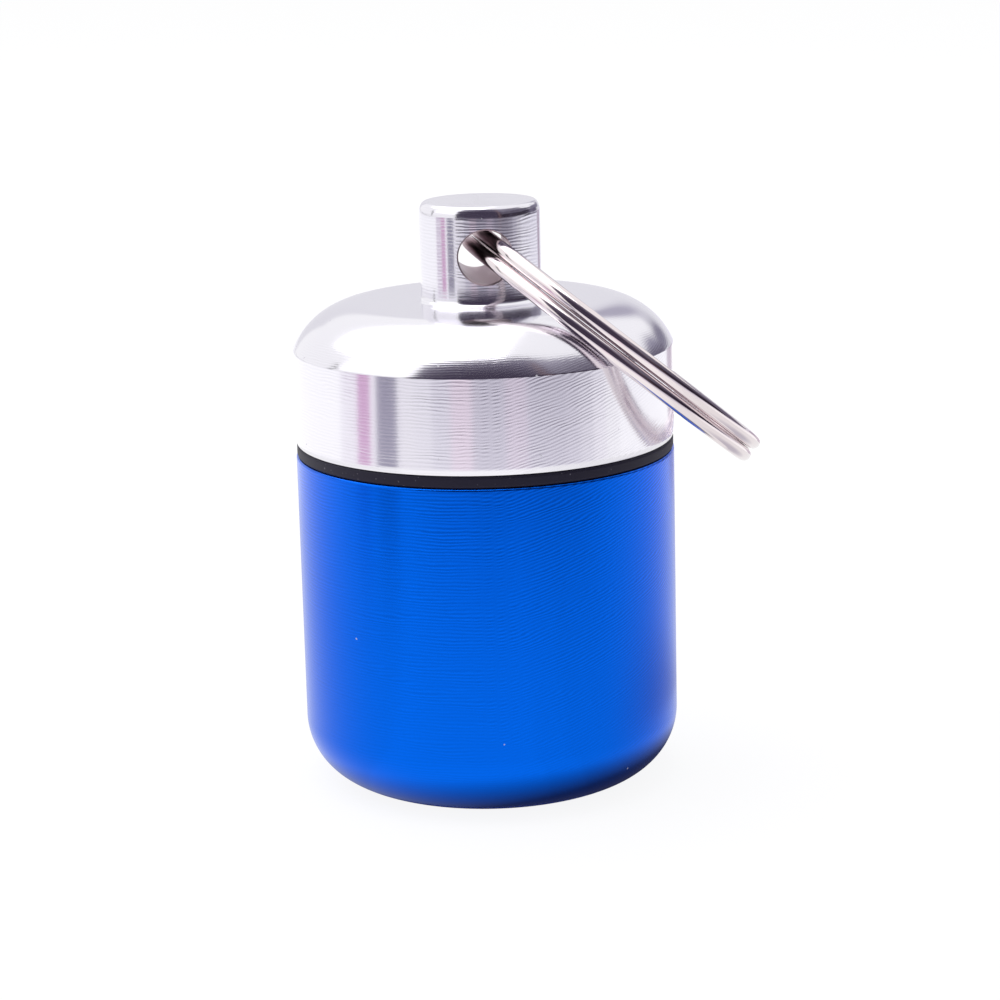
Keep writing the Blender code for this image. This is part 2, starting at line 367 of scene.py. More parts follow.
def turning_lines(tree, spot, outward_down, wander):
    """Marks of the lathe tool, from -1 to 1, which run round the Z axis and follow the outline.

    The outline's run is radius minus height where it falls outwards, as on the cap, and radius plus
    height where it rises outwards, as on the cup. Level lines run into slanting chatter marks at +X.
    """
    # Tool feed of 0.23 mm a turn, coarser than the real one so that it shows, and chatter marks a turn
    feed, chatter = 0.23 * MM, 106
    # The lines drift by up to two feeds, over this distance across them and over wander along them
    drift_phase, drift_run = 14.0, 0.9 * MM
    parts, radius, bearing = spot
    sign = -1.0 if outward_down else 1.0
    run = add_node(tree, "ShaderNodeMath", {0: parts["Z"], 1: sign, 2: radius}, operation="MULTIPLY_ADD")
    lift = add_node(tree, "ShaderNodeMath", {0: run, 1: wander / drift_run}, operation="MULTIPLY")
    joined = add_node(tree, "ShaderNodeCombineXYZ", {"X": parts["X"], "Y": parts["Y"], "Z": lift})
    drift = add_node(tree, "ShaderNodeTexNoise", {"Vector": joined, "Scale": 1 / wander, "Detail": 3.0})
    pace = add_node(tree, "ShaderNodeMath", {0: run, 1: math.tau / feed}, operation="MULTIPLY")
    phase = add_node(tree, "ShaderNodeMath", {0: drift, 1: drift_phase, 2: pace}, operation="MULTIPLY_ADD")
    level = add_node(tree, "ShaderNodeMath", {0: phase}, operation="SINE")
    turned = add_node(
        tree, "ShaderNodeMath", {0: bearing, 1: -sign * chatter, 2: phase}, operation="MULTIPLY_ADD"
    )
    slant = add_node(tree, "ShaderNodeMath", {0: turned}, operation="SINE")
    # Chatter shows on the widest wall only, and takes over from left to right across its front
    aside = add_node(
        tree,
        "ShaderNodeMapRange",
        {"Value": parts["X"], "From Min": -3.0 * MM, "From Max": 4.0 * MM},
        interpolation_type="SMOOTHSTEP",
    )
    wall = add_node(
        tree, "ShaderNodeMapRange", {"Value": radius, "From Min": 12.2 * MM, "From Max": 12.8 * MM}
    )
    share = add_node(tree, "ShaderNodeMath", {0: aside, 1: wall}, operation="MULTIPLY")
    lines = add_node(tree, "ShaderNodeMix", {"Factor": share, 2: level, 3: slant}, data_type="FLOAT")
    # The tool's marks are faint in patches
    patchy = add_node(
        tree,
        "ShaderNodeMapRange",
        {"Value": drift, "From Min": 0.35, "From Max": 0.62, "To Min": 0.35, "To Max": 1.0},
    )
    return add_node(tree, "ShaderNodeMath", {0: lines, 1: patchy}, operation="MULTIPLY")


def dusted(tree, spot, surface, spacing, share):
    """Lays a few pale specks of dust on a surface, in a share of the places that a spacing gives."""
    least, most, thickness, wall = 0.04 * MM, 0.1 * MM, 0.7, 13.0 * MM
    parts, _, bearing = spot
    around = add_node(tree, "ShaderNodeMath", {0: bearing, 1: wall / spacing}, operation="MULTIPLY")
    up = add_node(tree, "ShaderNodeMath", {0: parts["Z"], 1: 1 / spacing}, operation="MULTIPLY")
    joined = add_node(tree, "ShaderNodeCombineXYZ", {"X": around, "Y": up})
    places = add_node(
        tree, "ShaderNodeTexVoronoi", {"Vector": joined, "Scale": 1.0}, voronoi_dimensions="2D"
    ).outputs
    chance = add_node(tree, "ShaderNodeSeparateColor", {0: places["Color"]}).outputs
    size = add_node(
        tree,
        "ShaderNodeMapRange",
        {"Value": chance["Green"], "To Min": least / spacing, "To Max": most / spacing},
    )
    inside = add_node(tree, "ShaderNodeMath", {0: places["Distance"], 1: size}, operation="LESS_THAN")
    taken = add_node(tree, "ShaderNodeMath", {0: chance["Red"], 1: share}, operation="LESS_THAN")
    speck = add_node(tree, "ShaderNodeMath", {0: inside, 1: taken}, operation="MULTIPLY")
    cover = add_node(tree, "ShaderNodeMath", {0: speck, 1: thickness}, operation="MULTIPLY")
    dust = add_node(tree, "ShaderNodeBsdfDiffuse", {"Color": linear("#E6E4EE")})
    return add_node(tree, "ShaderNodeMixShader", {0: cover, 1: surface, 2: dust})


def with_spans(tree, whole, operation, spans):
    """Joins a value with the strengths that spans give, each between two places of a part in mm."""
    for part, start, end, least, most in spans:
        reach = {"Value": part, "From Min": start * MM, "From Max": end * MM}
        share = add_node(tree, "ShaderNodeMapRange", {**reach, "To Min": least, "To Max": most})
        whole = add_node(tree, "ShaderNodeMath", {0: whole, 1: share}, operation=operation)
    return whole


def turned_metal(tree, spot, marks, colour, contrast, depth, roughness, spread, dust):
    """Metal that the lathe's marks shade by a contrast and dent by a depth, and whose gloss they spread."""
    shade = add_node(
        tree,
        "ShaderNodeMapRange",
        {"Value": marks, "From Min": -1.0, "From Max": 1.0, "To Min": 1 - contrast, "To Max": 1 + contrast},
    )
    metal = add_node(tree, "ShaderNodeVectorMath", {0: colour, "Scale": shade}, operation="SCALE")
    bump = add_node(tree, "ShaderNodeBump", {"Strength": 1.0, "Distance": depth, "Height": marks})
    way = add_node(tree, "ShaderNodeTangent", direction_type="RADIAL", axis="Z")
    shader = add_node(
        tree,
        "ShaderNodeBsdfPrincipled",
        {
            "Base Color": metal,
            "Metallic": 1.0,
            "Roughness": roughness,
            "Anisotropic": spread,
            "Anisotropic Rotation": 0.25,
            "Normal": bump,
            "Tangent": way,
        },
    )
    add_node(tree, "ShaderNodeOutputMaterial", {"Surface": dusted(tree, spot, shader, *dust)})


def blue_anodised_aluminium(colours):
    """Turned aluminium, anodised and dyed: satin, deep blue, with faint lathe lines."""
    made, tree = new_material("blue_anodised_turned_aluminium")
    spot = round_axis(tree)
    lines = turning_lines(tree, spot, False, 4.0 * MM)
    # They are clearest near the shoulder, and fade towards the base and the left side
    parts, _, _ = spot
    spans = ((parts["Z"], 3.0, 21.0, 0.3, 1.5), (parts["X"], -10.0, -1.0, 0.4, 1.0))
    marks = with_spans(tree, lines, "MULTIPLY", spans)
    # The film lies thicker in the tool's grooves, and shows darker there
    blue = linear(colours.blue)[:3]
    look = {"contrast": 0.2, "depth": 0.0012 * MM, "roughness": 0.26, "spread": 0.5}
    turned_metal(tree, spot, marks, blue, dust=(5.0 * MM, 0.15), **look)
    return made


def clear_anodised_aluminium(colours, sizes):
    """Turned aluminium with a clear anodic film: bright, with fine lathe lines round the axis."""
    made, tree = new_material("clear_anodised_turned_aluminium")
    spot = round_axis(tree)
    marks = turning_lines(tree, spot, True, 3.0 * MM)
    # The knob and the band keep the tool's lines, and the crown between them is nearly polished
    _, radius, _ = spot
    strong = with_spans(tree, 0.0, "ADD", ((radius, 4.2, 4.8, 1.0, 0.3), (radius, 12.0, 12.9, 0.0, 0.7)))
    cut = add_node(tree, "ShaderNodeMath", {0: marks, 1: strong}, operation="MULTIPLY")
    # The drilled hole is duller than the turned skin, and its darker colour is painted shade for the inside
    # of the hole
    from_hole = placed(tree, (0.0, 0.0, sizes.rim + sizes.hole_height), (0.0, 0.0, sizes.hole_turn))
    reach = off_axis(tree, from_hole, (1.0, 0.0, 1.0))
    edge = sizes.hole_radius + sizes.hole_break
    bore = add_node(tree, "ShaderNodeMath", {0: reach, 1: edge}, operation="LESS_THAN")
    dull = add_node(tree, "ShaderNodeMapRange", {"Value": bore, "To Min": 0.16, "To Max": 0.28})
    bare = add_node(
        tree,
        "ShaderNodeMix",
        {"Factor": bore, 6: linear(colours.bare), 7: linear(colours.bore)},
        data_type="RGBA",
    )
    look = {"contrast": 0.025, "depth": 0.0017 * MM, "roughness": dull, "spread": 0.4}
    turned_metal(tree, spot, cut, bare.outputs[2], dust=(3.2 * MM, 0.3), **look)
    return made


def moulded_rubber(colours):
    """Moulded nitrile rubber: near black, with a dull soft gloss and a little pale dust."""
    made, tree = new_material("moulded_nitrile_rubber")
    point = add_node(tree, "ShaderNodeTexCoord").outputs["Object"]
    # Grain of the mould, and specks of dust up to 0.1 mm wide
    coarse, fine = 1 / (0.16 * MM), 1 / (0.08 * MM)
    grain = add_node(tree, "ShaderNodeTexNoise", {"Vector": point, "Scale": fine, "Detail": 2.0})
    specks = add_node(tree, "ShaderNodeTexNoise", {"Vector": point, "Scale": coarse, "Detail": 1.0})
    dust = add_node(
        tree, "ShaderNodeMapRange", {"Value": specks, "From Min": 0.74, "From Max": 0.8, "To Max": 0.5}
    )
    black = add_node(
        tree,
        "ShaderNodeMix",
        {"Factor": dust, 6: linear(colours.rubber), 7: linear("#A9A4B0")},
        data_type="RGBA",
    )
    bump = add_node(tree, "ShaderNodeBump", {"Strength": 0.5, "Distance": 0.004 * MM, "Height": grain})
    shader = add_node(
        tree,
        "ShaderNodeBsdfPrincipled",
        {"Base Color": black.outputs[2], "Roughness": 0.55, "IOR": 1.35, "Normal": bump},
    )
    add_node(tree, "ShaderNodeOutputMaterial", {"Surface": shader})
    return made


def bright_nickel(colours, rest):
    """Nickel plate on drawn spring wire: a mirror, slightly warm, with faint marks along the wire."""
    made, tree = new_material("bright_nickel_plate_on_drawn_wire")
    # Drawing marks lie this far apart, and run along the wire for about this length
    apart, long = 0.1 * MM, 6.0 * MM
    own = placed(tree, rest.to_translation(), rest.to_euler())
    parts = add_node(tree, "ShaderNodeSeparateXYZ", {0: own}).outputs
    along = add_node(tree, "ShaderNodeMath", {0: parts["X"], 1: apart / long}, operation="MULTIPLY")
    radius = off_axis(tree, own, (1.0, 1.0, 0.0))
    joined = add_node(tree, "ShaderNodeCombineXYZ", {"X": radius, "Y": parts["Z"], "Z": along})
    marks = add_node(tree, "ShaderNodeTexNoise", {"Vector": joined, "Scale": 1 / apart, "Detail": 2.0})
    bump = add_node(tree, "ShaderNodeBump", {"Strength": 1.0, "Distance": 0.0015 * MM, "Height": marks})
    gloss = add_node(
        tree,
        "ShaderNodeMapRange",
        {"Value": marks, "From Min": 0.3, "From Max": 0.7, "To Min": 0.05, "To Max": 0.13},
    )
    shader = add_node(
        tree,
        "ShaderNodeBsdfPrincipled",
        {"Base Color": linear(colours.nickel), "Metallic": 1.0, "Roughness": gloss, "Normal": bump},
    )
    add_node(tree, "ShaderNodeOutputMaterial", {"Surface": shader})
    return made


class PILL_OT_cup(bpy.types.Operator):
    """Makes the anodised cup with its threaded neck"""

    bl_idname = "pill_holder.cup"
    bl_label = "Make cup"

    def execute(self, context):
        """Turns the cup and winds the ridge round its neck."""
        sizes = context.scene.pill_cup_sizes
        thread = context.scene.pill_thread_sizes
        bm = bmesh.new()
        at = start_outline(bm, 0.0, 0.0)
        at = draw_line(bm, at, sizes.radius - sizes.base_edge, 0.0)
        at = draw_arc(bm, at, sizes.radius - sizes.base_edge, sizes.base_edge, -90, steps=40)
        edge = sizes.shoulder_edge
        at = draw_line(bm, at, sizes.radius, sizes.shoulder - edge)
        at = draw_arc(bm, at, sizes.radius - edge, sizes.shoulder - edge, -90, steps=8)
        land = sizes.shoulder + sizes.land_height
        for across, height in (
            (sizes.land_radius, sizes.shoulder),
            (sizes.land_radius, land),
            (sizes.root_radius, land + sizes.land_radius - sizes.root_radius),
            (sizes.root_radius, sizes.neck_top - sizes.mouth_edge),
            (sizes.root_radius - sizes.mouth_edge, sizes.neck_top),
            (sizes.chamber_radius + edge, sizes.neck_top),
        ):
            at = draw_line(bm, at, across, height)
        at = draw_arc(bm, at, sizes.chamber_radius + edge, sizes.neck_top - edge, -90, steps=6)
        corner = sizes.chamber_corner
        at = draw_line(bm, at, sizes.chamber_radius, sizes.floor + corner)
        at = draw_arc(bm, at, sizes.chamber_radius - corner, sizes.floor + corner, 90, steps=20)
        draw_line(bm, at, 0.0, sizes.floor)
        revolve(bm, ROUND_STEPS)
        cup = make_object(bm, "pill_cup_turned")
        ridge = make_ridge("neck_ridge", thread, sizes.root_radius, sizes.crest_radius, 0.0)
        combine(cup, ridge, "UNION")
        finish = blue_anodised_aluminium(context.scene.pill_finishes)
        dress(cup, finish, "pill_cup", "cup")
        return {"FINISHED"}


class PILL_OT_cap(bpy.types.Operator):
    """Makes the turned cap with its knob, cross hole and inner thread"""

    bl_idname = "pill_holder.cap"
    bl_label = "Make cap"

    def execute(self, context):
        """Turns the cap, winds the ridge inside it and drills the knob."""
        sizes = context.scene.pill_cap_sizes
        thread = context.scene.pill_thread_sizes
        rim, top = sizes.rim, sizes.top
        crown = rim + sizes.band + sizes.crown_rise
        bm = bmesh.new()
        at = start_outline(bm, 0.0, top)
        at = draw_line(bm, at, sizes.knob_radius - sizes.edge_across, top)
        straight = set(bm.verts)
        at = draw_arc(bm, at, sizes.knob_radius - sizes.edge_across, top - sizes.edge_across, 90, steps=24)
        bmesh.ops.scale(
            bm,
            verts=[corner for corner in bm.verts if corner not in straight],
            vec=(1.0, 1.0, sizes.edge_down / sizes.edge_across),
            space=Matrix.Translation((0.0, 0.0, -top)),
        )
        foot = sizes.knob_foot
        at = draw_line(bm, at, sizes.knob_radius, crown + foot)
        at = draw_arc(bm, at, sizes.knob_radius + foot, crown + foot, -90, steps=12)
        middle_height = crown - sizes.crown_arc
        crease = math.asin((rim + sizes.band - middle_height) / sizes.crown_arc)
        middle = sizes.radius - sizes.crown_arc * math.cos(crease)
        at = draw_line(bm, at, middle, crown)
        at = draw_arc(bm, at, middle, middle_height, 90 - math.degrees(crease), steps=56)
        edge, roll, lean = sizes.rim_edge, sizes.rim_roll, sizes.rim_lean
        roll_height = rim + edge + (roll - edge) * math.sin(lean)
        at = draw_line(bm, at, sizes.radius, roll_height)
        at = draw_arc(bm, at, sizes.radius - roll, roll_height, math.degrees(lean), steps=12)
        turned_in = sizes.radius - roll + (roll - edge) * math.cos(lean)
        at = draw_arc(bm, at, turned_in, rim + edge, 90 - math.degrees(lean), steps=8)
        at = draw_line(bm, at, sizes.bore_radius + sizes.bore_mouth, rim)
        at = draw_line(bm, at, sizes.bore_radius, rim + sizes.bore_mouth)
        corner = sizes.bore_corner
        ceiling = rim + sizes.bore_depth
        at = draw_line(bm, at, sizes.bore_radius, ceiling - corner)
        at = draw_arc(bm, at, sizes.bore_radius - corner, ceiling - corner, -90, steps=12)
        draw_line(bm, at, 0.0, ceiling)
        revolve(bm, ROUND_STEPS)
        cap = make_object(bm, "screw_cap_turned")
        ridge = make_ridge("cap_ridge", thread, sizes.bore_radius, sizes.crest_radius, math.pi)
        combine(cap, ridge, "UNION")
        combine(cap, self.drill(sizes), "DIFFERENCE")
        finish = clear_anodised_aluminium(context.scene.pill_finishes, sizes)
        dress(cap, finish, "screw_cap", "cap")
        return {"FINISHED"}

    def drill(self, sizes):
        """Cutter of the cross hole, which flares evenly where it meets the knob's round wall."""
        flare, wall = sizes.hole_break, sizes.knob_radius
        # The flare goes on for this length beyond the wall
        beyond = 10 * flare
        end, inside = wall + beyond, wall - flare
        bm = bmesh.new()
        at = start_outline(bm, 0.0, end)
        half = [(flare + beyond, end), (flare, wall), (0.0, inside)]
        other_half = [(wider, -along) for wider, along in reversed(half)]
        for wider, along in half + other_half:
            at = draw_line(bm, at, sizes.hole_radius + wider, along)
        draw_line(bm, at, 0.0, -end)
        revolve(bm, HOLE_STEPS)
        for corner in bm.verts:
            if abs(corner.co.z) > inside / 2:
                aside = min(abs(corner.co.x), wall)
                corner.co.z -= math.copysign(wall - math.sqrt(wall**2 - aside**2), corner.co.z)
        set_level = Matrix.Rotation(sizes.hole_turn, 4, "Z") @ Matrix.Rotation(math.pi / 2, 4, "X")
        lift = Matrix.Translation((0.0, 0.0, sizes.rim + sizes.hole_height))
        bmesh.ops.transform(bm, matrix=lift @ set_level, verts=bm.verts[:])
        return make_object(bm, "hole_drill")


class PILL_OT_seal(bpy.types.Operator):
    """Makes the squeezed rubber seal"""

    bl_idname = "pill_holder.seal"
    bl_label = "Make seal"

    def execute(self, context):
        """Turns the seal's squeezed section."""
        sizes = context.scene.pill_seal_sizes
        corner = sizes.corner
        inside, outside = sizes.inner + corner, sizes.outer - corner
        low, high = sizes.low + corner, sizes.high - corner
        bm = bmesh.new()
        at = start_outline(bm, inside, sizes.high)
        for end, centre in (
            ((outside, sizes.high), (outside, high)),
            ((sizes.outer, low), (outside, low)),
            ((inside, sizes.low), (inside, low)),
            ((sizes.inner, high), (inside, high)),
        ):
            at = draw_arc(bm, draw_line(bm, at, *end), *centre, 90, steps=10)
        revolve(bm, ROUND_STEPS)
        seal = make_object(bm, "seal_ring_moulded")
        finish = moulded_rubber(context.scene.pill_finishes)
        dress(seal, finish, "seal_ring", "seal")
        return {"FINISHED"}


class PILL_OT_ring(bpy.types.Operator):
    """Makes the split ring of two turns of wire"""

    bl_idname = "pill_holder.ring"
    bl_label = "Make split ring"

    def execute(self, context):
        """Sweeps the wire round twice, with one step across, and hangs it in the knob's hole."""
        sizes = context.scene.pill_ring_sizes
        cap = context.scene.pill_cap_sizes
        bm = bmesh.new()
        on_edge = Matrix.Rotation(math.pi / 2, 4, "X")
        first = Matrix.Translation((sizes.coil_radius, 0.0, -sizes.pitch / 2))
        bmesh.ops.create_circle(bm, radius=sizes.wire_radius, segments=sizes.sides, matrix=first @ on_edge)
        start = sizes.step_place + sizes.step_angle / 2 + sizes.end_gap
        bmesh.ops.rotate(bm, verts=bm.verts[:], cent=CENTRE, matrix=Matrix.Rotation(start, 3, "Z"))
        plain = math.tau - sizes.step_angle - sizes.end_gap
        stride = math.tau / sizes.steps
        crossing = round(sizes.step_angle / stride)
        runs = [(plain, round(plain / stride), 0.0)]
        risen = 0.0
        for index in range(1, crossing + 1):
            share = index / crossing
            # The step across starts and ends level
            eased = sizes.pitch * share * share * (3.0 - 2.0 * share)
            runs.append((sizes.step_angle / crossing, 1, eased - risen))
            risen = eased
        runs.append((plain, round(plain / stride), 0.0))
        last = bm.verts[:] + bm.edges[:]
        for angle, steps, rise in runs:
            last = bmesh.ops.spin(
                bm, geom=last, cent=CENTRE, axis=Z_AXIS, angle=angle, steps=steps, dvec=(0.0, 0.0, rise)
            )["geom_last"]
        ends = [edge for edge in bm.edges if edge.is_boundary]
        bmesh.ops.holes_fill(bm, edges=ends, sides=sizes.sides)
        bmesh.ops.recalc_face_normals(bm, faces=bm.faces[:])
        bmesh.ops.bevel(
            bm, geom=ends, offset=sizes.end_edge, segments=4, profile=0.5, affect="EDGES", material=-1
        )
        hole = Matrix.Translation((0.0, 0.0, cap.rim + cap.hole_height))
        hung = Matrix.Rotation(sizes.dip, 4, "Y") @ Matrix.Translation(sizes.centre)
        leant = Matrix.Rotation(-sizes.lean, 4, "X")
        rest = hole @ Matrix.Rotation(cap.hole_turn, 4, "Z") @ hung @ leant
        bmesh.ops.transform(bm, matrix=rest, verts=bm.verts[:])
        ring = make_object(bm, "split_ring_wire")
        finish = bright_nickel(context.scene.pill_finishes, rest)
        dress(ring, finish, "split_ring", "ring")
        return {"FINISHED"}


def lamp(name, size, power, spot, target):
    """A rectangular soft light that faces a point."""
    data = bpy.data.lights.new(name, "AREA")
    data.shape = "RECTANGLE"
    data.size, data.size_y = size
    data.energy = power
    made = bpy.data.objects.new(name, data)
    made.location = spot
    made.rotation_euler = (Vector(target) - Vector(spot)).to_track_quat("-Z", "Y").to_euler()
    bpy.context.scene.collection.objects.link(made)


def show_in_gloss(made, finish, surface):
    """Finishes a card, which shows in gloss only, so that it hides nothing and shades nothing."""
    add_node(finish.node_tree, "ShaderNodeOutputMaterial", {"Surface": surface})
    made.data.materials.append(finish)
    made.visible_camera = False
    made.visible_diffuse = False
    made.visible_shadow = False
    made.visible_transmission = False


def card(name, bm, near_shade, far_shade, near, far, glow=1.0, middle=CENTRE):
    """A flat card whose shade runs from one grey to another between two distances from a middle."""
    made = make_object(bm, name)
    finish, tree = new_material(name + "_board")
    point = add_node(tree, "ShaderNodeTexCoord").outputs["Object"]
    reach = add_node(tree, "ShaderNodeVectorMath", {0: point, 1: middle}, operation="DISTANCE")
    share = add_node(
        tree, "ShaderNodeMapRange", {"Value": reach.outputs["Value"], "From Min": near, "From Max": far}
    )
    shade = add_node(
        tree,
        "ShaderNodeMix",
        {"Factor": share, 6: linear(near_shade), 7: linear(far_shade)},
        data_type="RGBA",
    )
    shine = add_node(tree, "ShaderNodeEmission", {"Color": shade.outputs[2], "Strength": glow})
    show_in_gloss(made, finish, shine)


def soft_patch(name, middle, width, height, shade):
    """An upright card that faces the object and fades out from its middle, like a chair across the room."""
    bm = bmesh.new()
    bmesh.ops.create_circle(bm, cap_ends=True, radius=1.0, segments=48)
    made = make_object(bm, name)
    facing = Vector((-middle[0], -middle[1], 0.0)).to_track_quat("Z", "Y").to_matrix().to_4x4()
    size = (width / 2, height / 2, 1.0)
    made.data.transform(Matrix.Translation(middle) @ facing @ Matrix.Diagonal((*size, 1.0)))
    finish, tree = new_material(name + "_cloth")
    own = placed(tree, middle, facing.to_euler(), size)
    fade = add_node(tree, "ShaderNodeTexGradient", {"Vector": own}, gradient_type="QUADRATIC_SPHERE")
    strong = add_node(tree, "ShaderNodeMapRange", {"Value": fade.outputs["Fac"], "From Max": 0.4})
    clear = add_node(tree, "ShaderNodeBsdfTransparent")
    shine = add_node(tree, "ShaderNodeEmission", {"Color": linear(shade), "Strength": 1.0})
    seen = add_node(tree, "ShaderNodeMixShader", {0: strong, 1: clear, 2: shine})
    show_in_gloss(made, finish, seen)


def sector(near, far, first, last, height):
    """A level sector between two distances and two bearings, left or right of the front, in degrees."""
    bm = bmesh.new()
    start = bmesh.ops.create_vert(bm, co=(0.0, -near, height))["vert"][0]
    bmesh.ops.extrude_vert_indiv(bm, verts=[start])["verts"][0].co.y = -far
    set_round = Matrix.Rotation(math.radians(first), 3, "Z")
    bmesh.ops.rotate(bm, verts=bm.verts[:], cent=CENTRE, matrix=set_round)
    angle = math.radians(last - first)
    geometry = bm.verts[:] + bm.edges[:]
    bmesh.ops.spin(bm, geom=geometry, cent=CENTRE, axis=Z_AXIS, angle=angle, steps=SECTOR_STEPS)
    return bm


def upright(reach, first, last, high_left, high_right, low=UNDER_TABLE):
    """An upright card between two bearings at a distance, whose top may slope."""
    bearings = (math.radians(first), math.radians(last))
    left, right = (Vector((reach * math.sin(angle), -reach * math.cos(angle), 0.0)) for angle in bearings)
    up = Vector(Z_AXIS)
    corners = (left + up * low, right + up * low, right + up * high_right, left + up * high_left)
    bm = bmesh.new()
    made = [bmesh.ops.create_vert(bm, co=corner)["vert"][0] for corner in corners]
    bmesh.ops.contextual_create(bm, geom=made)
    return bm


class PILL_OT_studio(bpy.types.Operator):
    """Makes the pale floor, the light, the cards and the camera"""

    bl_idname = "pill_holder.studio"
    bl_label = "Make studio"

    def execute(self, context):
        """Builds the studio round the finished object."""
        studio = context.scene.pill_studio
        self.floor()
        self.tent(context, studio)
        lamp("softbox_above", (0.68, 0.66), studio.softbox, (-0.265, 0.12, 0.5), (-0.265, 0.12, 0.0))
        self.room()
        self.table()
        self.camera(context, studio)
        return {"FINISHED"}

    def room(self):
        """Dark room behind the camera, white reflector at the left, dark things far behind at the right.

        An upright card has its distance, two bearings and the heights of its top, then two shades and the
        distances between which they run. A patch has its middle, width and height.
        """
        dark, dusk = "#4C4556", "#A09CAA"
        card("dark_room", upright(0.43, -46, 44, 0.56, 0.77), "#433C4D", "#787284", 0.42, 0.66)
        card("room_side", upright(0.44, 44, 54, 0.75, 0.64), dark, dusk, 0.42, 0.68)
        card("room_right", upright(0.43, 54, 86, 0.6, 0.42), dark, dusk, 0.42, 0.66)
        card("table_end", upright(0.43, 86, 112, 0.42, 0.19), "#544E5E", "#8E8A9A", 0.42, 0.6)
        card("table_corner", upright(0.43, 112, 140, 0.19, 0.1), "#6A6476", "#8E8A9A", 0.42, 0.5)
        for first, last, high_right in ((-46, 8, 0.15), (8, 62, 0.15), (62, 110, 0.09)):
            skirting = upright(0.42, first, last, 0.15, high_right)
            card(f"dark_skirting_{first}", skirting, "#2C2531", "#3A3240", 0.37, 0.45)
        card("back_cloth", upright(0.8, 150, 205, 0.3, 0.3), "#EAE9EE", "#EAE9EE", 0.8, 0.9)
        card("brown_post_left", upright(0.32, -10.5, -6.5, 0.5, 0.5), "#6B4A55", "#7B6570", 0.32, 0.5)
        card("brown_post_right", upright(0.32, 37, 41, 0.45, 0.45), "#6B565A", "#8B7B80", 0.32, 0.5)
        reflector = upright(0.4, -100, -47, 0.9, 0.9, 0.15)
        card("left_reflector", reflector, "#FFFFFF", "#FFFFFF", 0.4, 0.9, 1.35)
        stand = upright(0.3, -103.5, -100.5, 0.16, 0.16, 0.045)
        card("reflector_stand", stand, "#3A3644", "#3A3644", 0.3, 0.4)
        soft_patch("dark_chair", (0.34, 0.49, 0.125), 0.42, 0.26, "#868294")
        soft_patch("chair_arm", (0.17, 0.57, 0.32), 0.3, 0.5, "#B4B0C0")
        soft_patch("chair_side", (0.455, 0.385, 0.18), 0.34, 0.32, "#9692A4")

    def table(self):
        """What the gloss sees of the table: paper that darkens to the camera, and a few coloured strips.

        A sector has two distances, two bearings and its height, then its shades as in the room.
        """
        # The strips lie over the paper, and the far paper begins where the near paper ends
        low, high, edge, end = 0.0005, 0.001, 0.088, 0.8
        # The darkest of the object's own shadow lies close round its base, wider at the right
        shadow_middle = (0.002, 0.0, 0.0)
        sides = ((-180, -50, 1.03), (-50, 20, 1.1), (20, 35, 1.05), (35, 52, 0.99), (52, 180, 0.96))
        for first, last, glow in sides:
            paper = sector(0.0107, edge, first, last, low)
            card(f"paper_near_{first}", paper, "#4C4A54", "#FFFFFF", 0.011, 0.0157, glow, shadow_middle)
        # Its soft outer part lies further out at the right
        shadow = sector(0.0225, 0.062, 54, 178, high)
        card("shadow_right", shadow, "#D2D0DA", "#FFFFFF", 0.006, 0.021, 0.96, (0.026, 0.006, 0.0))
        for first, last, near_shade, far_shade, glow in (
            (-50, -40, "#FCFAFE", "#F4F2F8", 1.0),
            (-40, -30, "#FBF9FE", "#E8E6EE", 1.0),
            (-30, -18, "#F4F2FA", "#B8B4C2", 1.0),
            (-18, -6, "#ECE9F3", "#8A8494", 1.0),
            (-6, 28, "#E6E3EE", "#7E788A", 1.0),
            (28, 47, "#E6E3EE", "#605A6C", 1.0),
            (47, 56, "#ECE9F3", "#666072", 1.0),
            (56, 65, "#F7F5FC", "#787284", 1.0),
            (65, 74, "#FDFBFF", "#A29EAE", 1.08),
            (74, 84, "#FFFFFF", "#C0BCC8", 1.12),
        ):
            front = sector(edge, end, first, last, low)
            card(f"paper_front_{first}", front, near_shade, far_shade, 0.12, 0.29, glow)
        for side, first, last, near_shade, far_shade, glow in (
            ("left", -180, -92, "#FFFFFF", "#F4F4F6", 1.18),
            ("gap", -92, -50, "#FCFAFE", "#FCFAFE", 1.08),
            ("right", 84, 180, "#FFFFFF", "#DCDAE4", 1.16),
        ):
            paper = sector(edge, end, first, last, low)
            card(f"paper_{side}", paper, near_shade, far_shade, 0.16, 0.26, glow)
        for name, start, first, last, near_shade, far_shade, near, far in (
            ("pink_strip", 0.092, -78, -69, "#DFB2D8", "#C999BE", 0.15, 0.25),
            ("pale_pink_strip", 0.21, -90, -78, "#CDBED2", "#CDBED2", 0.2, 0.5),
            ("grey_strip", 0.092, -64.5, -51, "#A29EB2", "#827E90", 0.15, 0.25),
            ("purple_strip", edge, 142, 156, "#D6CAD6", "#B4A6B6", 0.15, 0.25),
            ("faint_pink_left", edge, -19, -7, "#FFF1FC", "#A89AA8", 0.12, 0.29),
            ("faint_pink_right", edge, 12, 24, "#F1E7F3", "#9A90A0", 0.12, 0.29),
        ):
            card(name, sector(start, 0.5, first, last, high), near_shade, far_shade, near, far)

    def floor(self):
        """White paper, which the camera sees as white and which keeps the object's shadow."""
        bm = bmesh.new()
        bmesh.ops.create_circle(bm, cap_ends=True, radius=2.0, segments=64)
        sheet = make_object(bm, "paper_floor")
        sheet.data.transform(Matrix.Translation((0.0, 0.0, -0.02 * MM)))
        finish, tree = new_material("white_paper")
        paper = add_node(tree, "ShaderNodeBsdfDiffuse", {"Color": linear("#F4F3F6")})
